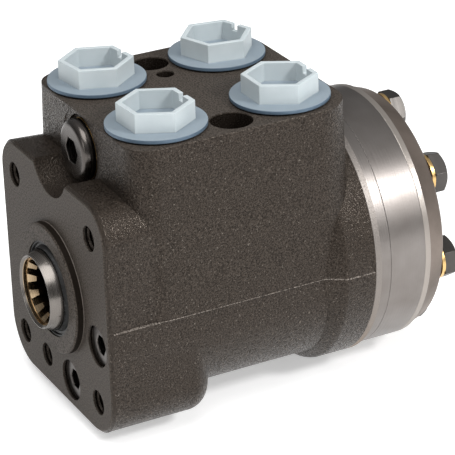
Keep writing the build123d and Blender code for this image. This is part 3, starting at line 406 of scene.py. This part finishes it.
# Relief: sandy grain, weaker on worked faces, and thread ridges in the front holes
THREAD_PITCH = 0.0015
RIDGE_HEIGHT = 2400.0
RELIEF = 0.00026
even = span(tree, (-650, -420), worked_faces, low=1.0, high=0.3)
height = join(tree, (-450, -420), "MULTIPLY", grain["Grain"], even)
ridge = join(tree, (-650, -600), "PINGPONG", along_y, THREAD_PITCH / 2)
ridge = join(tree, (-650, -750), "MULTIPLY", ridge, RIDGE_HEIGHT)
ridge = join(tree, (-500, -600), "MULTIPLY", ridge, in_front)
height = join(tree, (-350, -500), "ADD", height, ridge)
raise_grain(tree, shader, height, strength=1.0, distance=RELIEF)
housing = worked_copy("housing", "cast_housing", edge=0.0005)
dress(housing, "housing", cast_iron)

# ---------------------------------------------------------------- seals
# Moulded black rubber: a dust lip in front and a lip seal behind the web, both round the input shaft,
# and three rings laid in grooves between the housing, the plate, the gear rim and the cover.
rubber, tree, shader, position = new_finish("black seal rubber", 0.0, 0.55)
shader.inputs["Base Color"].default_value = (0.012, 0.012, 0.012, 1)
rubber_grain = grain_of(tree, (-900, 0), position, Grain_per_metre=2500.0)
dullness = span(tree, (-450, 0), rubber_grain["Cloud"], low=0.4, high=0.7)
tree.links.new(dullness, shader.inputs["Roughness"])
for seal in ("dust_seal", "shaft_seal", "housing_seal", "plate_seal", "cover_seal"):
    dress(worked_copy(seal, seal + "_ring", edge=0.0), seal, rubber)

# ---------------------------------------------------------------- ground steel pieces
# Thrust bearing, sleeve, cross pin, cardan and spacer, and the small pieces of the relief and check
# valves, are hardened and ground steel. Grinding leaves very fine lines round the shaft axis.
LINE_GLOSS = 0.12


def turned_finish(name, light, dark, roughness, lines_per_metre):
    """Metal turned or ground about the shaft axis: fine rings along it and a light cloud of stain."""
    finish, tree, shader, position = new_finish(name, 1.0, roughness)
    along_y = axes_of(tree, (-1200, -200), position)["Y"]
    along = join(tree, (-1000, -200), "MULTIPLY", along_y, lines_per_metre)
    rings = add_node(tree, "ShaderNodeTexNoise", (-800, -200), noise_dimensions="1D")
    rings.inputs["Scale"].default_value = 1.0
    rings.inputs["Detail"].default_value = 2.0
    tree.links.new(along, rings.inputs["W"])
    stain = grain_of(tree, (-1000, 250), position, Grain_per_metre=600.0, Cloud_per_metre=70.0)
    metal = mix_colour(tree, (-500, 150), stain["Cloud"], dark, light)
    tree.links.new(metal, shader.inputs["Base Color"])
    gloss = span(tree, (-500, -50), rings.outputs["Fac"], roughness - LINE_GLOSS, roughness + LINE_GLOSS)
    tree.links.new(gloss, shader.inputs["Roughness"])
    raise_grain(tree, shader, rings.outputs["Fac"], strength=0.25, distance=0.00004)
    return finish


ground_steel = turned_finish("ground steel", light=(0.46, 0.44, 0.41, 1), dark=(0.26, 0.235, 0.21, 1),
                             roughness=0.26, lines_per_metre=2600.0)
for node in ("bearing_outer_race", "bearing_cage", "bearing_rollers", "bearing_inner_race", "sleeve",
             "cross_pin", "cardan_shaft", "cardan_spacer", "relief_poppet", "relief_seat", "check_ball",
             "check_bushing"):
    dress(worked_copy(node, node + "_steel", edge=0.0), node, ground_steel)

# ---------------------------------------------------------------- input shaft
# The spool and splined input shaft in one, turned and ground from hardened steel.
# Its splined mouth carries a brown film of test oil, and painted shade makes it darker further into the
# bore.
MOUTH_REACH = 0.01175
MOUTH_FRONT = -0.0068
MOUTH_DEEP = -0.0035
MOUTH_END = 0.05
OIL_FILM = (0.40, 0.30, 0.19, 1)
DEEP_BORE_SHADE = (0.055, 0.032, 0.016, 1)
oiled_steel = turned_finish("ground steel with an oiled spline", light=(0.23, 0.212, 0.196, 1),
                            dark=(0.10, 0.089, 0.080, 1), roughness=0.27, lines_per_metre=2600.0)
tree = oiled_steel.node_tree
shader = tree.nodes["Principled BSDF"]
place = add_node(tree, "ShaderNodeTexCoord", (-1400, 700)).outputs["Object"]
depth = axes_of(tree, (-1200, 900), place)["Y"]
reach = off_axis(tree, (-1200, 700), place, (0, 0, 0), (1, 0, 1))
oiled = product(tree, (-700, 700),
                between(tree, (-900, 700), reach, -BEYOND, MOUTH_REACH),
                between(tree, (-900, 900), depth, MOUTH_FRONT, MOUTH_END))
# Painted shade: darker deeper into the bore
deep_shade = product(tree, (-700, 900), oiled,
               between(tree, (-900, 1100), depth, MOUTH_DEEP, MOUTH_END, softness=0.004))
clean = shader.inputs["Base Color"].links[0].from_socket
film = mix_colour(tree, (-300, 500), oiled, clean, OIL_FILM)
film = mix_colour(tree, (-150, 500), deep_shade, film, DEEP_BORE_SHADE)
tree.links.new(film, shader.inputs["Base Color"])
dress(worked_copy("spool", "input_shaft", edge=0.00015), "spool", oiled_steel)

# ---------------------------------------------------------------- springs
# The flat centring springs, their holding ring and the relief valve's wound coil are blued spring steel.
blued_steel = turned_finish("blued spring steel", light=(0.16, 0.17, 0.22, 1), dark=(0.08, 0.08, 0.10, 1),
                            roughness=0.35, lines_per_metre=1800.0)
for node in ("centring_springs", "spring_ring"):
    dress(worked_copy(node, node + "_blued", edge=0.0), node, blued_steel)
coil = worked_copy("relief_spring", "relief_spring_blued", edge=0.0)
dress(coil, "relief_spring", blued_steel)
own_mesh(coil)

# ---------------------------------------------------------------- gear set
# Distributor plate, outer gear rim and inner gear are steel; plate and rim are turned bright outside.
# They keep their turning lines and a light cloud of dried oil.
bright_steel = turned_finish("bright turned steel", light=(0.26, 0.243, 0.232, 1),
                             dark=(0.13, 0.112, 0.10, 1), roughness=0.36, lines_per_metre=2600.0)
for node in ("distributor_plate", "gear_rim"):
    dress(worked_copy(node, node + "_turned", edge=0.0002), node, bright_steel)
dress(worked_copy("rotor", "rotor_ground", edge=0.0), "rotor", bright_steel)

# ---------------------------------------------------------------- end cover
# A forged steel lid with a brownish phosphate skin.
# Its front edge is turned bright where it meets the gear rim.
LID_DARK = (0.10, 0.080, 0.066, 1)
LID_LIGHT = (0.23, 0.19, 0.165, 1)
LID_TURNED = (0.30, 0.27, 0.245, 1)
TURNED_WIDTH = 0.0022
cover_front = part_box("end_cover")[0].y
cover_steel, tree, shader, position = new_finish("phosphated cover steel", 0.75, 0.45)
along_y = axes_of(tree, (-1150, -250), position)["Y"]
skin = grain_of(tree, (-1150, 250), position, Grain_per_metre=1300.0, Cloud_per_metre=60.0)
patches = span(tree, (-950, 400), skin["Cloud"], low=-0.4, high=1.4)
turned_edge = between(tree, (-850, -150), along_y, -BEYOND, cover_front + TURNED_WIDTH)
lid = mix_colour(tree, (-800, 250), patches, LID_DARK, LID_LIGHT)
lid = mix_colour(tree, (-500, 150), turned_edge, lid, LID_TURNED)
tree.links.new(lid, shader.inputs["Base Color"])
lid_gloss = span(tree, (-500, -80), turned_edge, low=0.48, high=0.36)
tree.links.new(lid_gloss, shader.inputs["Roughness"])
raise_grain(tree, shader, skin["Grain"], strength=0.15, distance=0.0003)
dress(worked_copy("end_cover", "cover_lid", edge=0.0004), "end_cover", cover_steel)

# ---------------------------------------------------------------- cover bolts and copper washers
# Seven forged hexagon bolts with a black oxide skin hold the cover, each on a copper sealing washer.
# The relief valve's plug seals on a copper washer too; all are stamped.
black_steel = turned_finish("black oxide steel", light=(0.125, 0.117, 0.11, 1),
                            dark=(0.045, 0.041, 0.038, 1), roughness=0.42, lines_per_metre=900.0)
dress(worked_copy("cover_bolts", "hexagon_bolts", edge=0.0003), "cover_bolts", black_steel)
copper = turned_finish("copper", light=(0.78, 0.55, 0.26, 1), dark=(0.50, 0.31, 0.11, 1), roughness=0.28,
                       lines_per_metre=1500.0)
for node in ("bolt_washers", "relief_washer"):
    dress(worked_copy(node, node + "_copper", edge=0.0001), node, copper)

# ---------------------------------------------------------------- relief valve plug and valve screws
# Plated steel plug with a rounded rim and a hexagon socket, and the two socket screws that close the
# shock valves in the front face. All three are turned.
plated_steel = turned_finish("bright plated steel", light=(0.135, 0.122, 0.113, 1),
                             dark=(0.04, 0.036, 0.033, 1), roughness=0.27, lines_per_metre=1200.0)
dress(worked_copy("relief_plug", "relief_cap", edge=0.0003), "relief_plug", plated_steel)
dress(worked_copy("shock_screws", "valve_screws", edge=0.0005), "shock_screws", plated_steel)

# ---------------------------------------------------------------- plastic port plugs
# Thin-walled natural polyethylene, injection moulded: milky white in the cup and slightly blue in the
# thin flange, with a soft satin gloss.
MILK_DARK = (0.40, 0.455, 0.475, 1)
MILK_LIGHT = (0.52, 0.565, 0.58, 1)
FLANGE_BLUE = (0.085, 0.125, 0.17, 1)
CUP_HEIGHT = 0.0064
plug_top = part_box("plug_front_right")[1].z
milky_plastic, tree, shader, position = new_finish("milky polyethylene", 0.0, 0.5)
shader.inputs["Specular IOR Level"].default_value = 0.25
shader.inputs["Subsurface Weight"].default_value = 0.25
shader.inputs["Subsurface Radius"].default_value = (0.002, 0.002, 0.002)
up_z = axes_of(tree, (-1150, -250), position)["Z"]
flange = between(tree, (-850, -150), up_z, -BEYOND, plug_top - CUP_HEIGHT, softness=0.0006)
haze = grain_of(tree, (-1150, 250), position, Grain_per_metre=500.0, Cloud_per_metre=120.0)
milk = mix_colour(tree, (-700, 250), haze["Cloud"], MILK_DARK, MILK_LIGHT)
milk = mix_colour(tree, (-450, 150), flange, milk, FLANGE_BLUE)
tree.links.new(milk, shader.inputs["Base Color"])
raise_grain(tree, shader, haze["Cloud"], strength=0.1, distance=0.0003)
for node in ("plug_front_left", "plug_front_right", "plug_rear_left", "plug_rear_right"):
    dress(worked_copy(node, node + "_plastic", edge=0.00025), node, milky_plastic)

# ---------------------------------------------------------------- floor, light and camera
# A plain white studio: pale floor, an even white surround and soft boxes above, in front and beside.
FLOOR_SIZE = 6
FLOOR_GAP = 0.0002
bpy.ops.object.select_all(action="DESELECT")
bpy.ops.mesh.primitive_plane_add(size=FLOOR_SIZE, location=(0, 0, housing_low.z - FLOOR_GAP))
floor = bpy.context.object
floor.name = "floor"
paper = bpy.data.materials.new("white paper")
paper.use_nodes = True
paper_inputs = paper.node_tree.nodes["Principled BSDF"].inputs
paper_inputs["Base Color"].default_value = (0.9, 0.9, 0.9, 1)
paper_inputs["Roughness"].default_value = 0.9
paper_inputs["Emission Color"].default_value = (1, 1, 1, 1)
paper_inputs["Emission Strength"].default_value = 0.45
floor.data.materials.append(paper)

# The surround is bright overhead and dim at the horizon, so that turned steel shows light and dark
# bands; straight from the camera it's plain white
world = bpy.data.worlds.new("studio")
bpy.context.scene.world = world
world.use_nodes = True
sky_tree = world.node_tree
background = sky_tree.nodes["Background"]
background.inputs["Color"].default_value = (1, 1, 1, 1)
seen = add_node(sky_tree, "ShaderNodeLightPath", (-600, 0))
strength = add_node(sky_tree, "ShaderNodeMapRange", (-300, 0))
sky = add_node(sky_tree, "ShaderNodeTexCoord", (-1000, -200))
rise = axes_of(sky_tree, (-800, -200), sky.outputs["Generated"])["Z"]
dome = add_node(sky_tree, "ShaderNodeMapRange", (-600, -200))
dome.inputs["From Max"].default_value = 0.9
dome.inputs["To Min"].default_value = 0.10
dome.inputs["To Max"].default_value = 0.45
sky_tree.links.new(rise, dome.inputs["Value"])
sky_tree.links.new(dome.outputs["Result"], strength.inputs["To Min"])
sky_tree.links.new(seen.outputs["Is Camera Ray"], strength.inputs["Value"])
sky_tree.links.new(strength.outputs["Result"], background.inputs["Strength"])
bpy.context.scene.view_settings.view_transform = "Standard"

TARGET = Vector((0, 0.06, 0.01))


def soft_box(name, place, size, power):
    """A soft box that looks at the object."""
    bpy.ops.object.light_add(type="AREA", location=place)
    lamp = bpy.context.object
    lamp.name = name
    lamp.data.shape = "SQUARE"
    lamp.data.size = size
    lamp.data.energy = power
    lamp.rotation_euler = (TARGET - Vector(place)).to_track_quat("-Z", "Y").to_euler()
    return lamp


lamps = [
    soft_box("overhead box", (0.25, -0.2, 0.85), size=0.75, power=7.0),
    soft_box("side box", (0.7, 0.42, 0.3), size=0.25, power=0.7),
    soft_box("front box", (0.25, -0.8, 0.3), size=0.3, power=0.6),
    soft_box("shoulder box", (0.64, 0.43, 0.54), size=0.15, power=5.0),
]

CAMERA_PLACE = (0.65692, -0.27106, 0.35221)
CAMERA_RIGHT = (0.46650722, 0.8839896, -0.03055151)
CAMERA_UP = (-0.36343714, 0.22305753, 0.9045213)
CAMERA_BACK = (0.80640217, -0.41086217, 0.4253326)
SENSOR = 36.0
FOCAL_PIXELS = 2420.5
FRAME_PIXELS = 455
bpy.ops.object.camera_add(location=CAMERA_PLACE)
camera = bpy.context.object
camera.name = "studio camera"
turn = Matrix((CAMERA_RIGHT, CAMERA_UP, CAMERA_BACK)).transposed().to_4x4()
camera.matrix_world = Matrix.Translation(CAMERA_PLACE) @ turn
camera.data.sensor_width = SENSOR
camera.data.lens = FOCAL_PIXELS / FRAME_PIXELS * SENSOR
bpy.context.scene.camera = camera
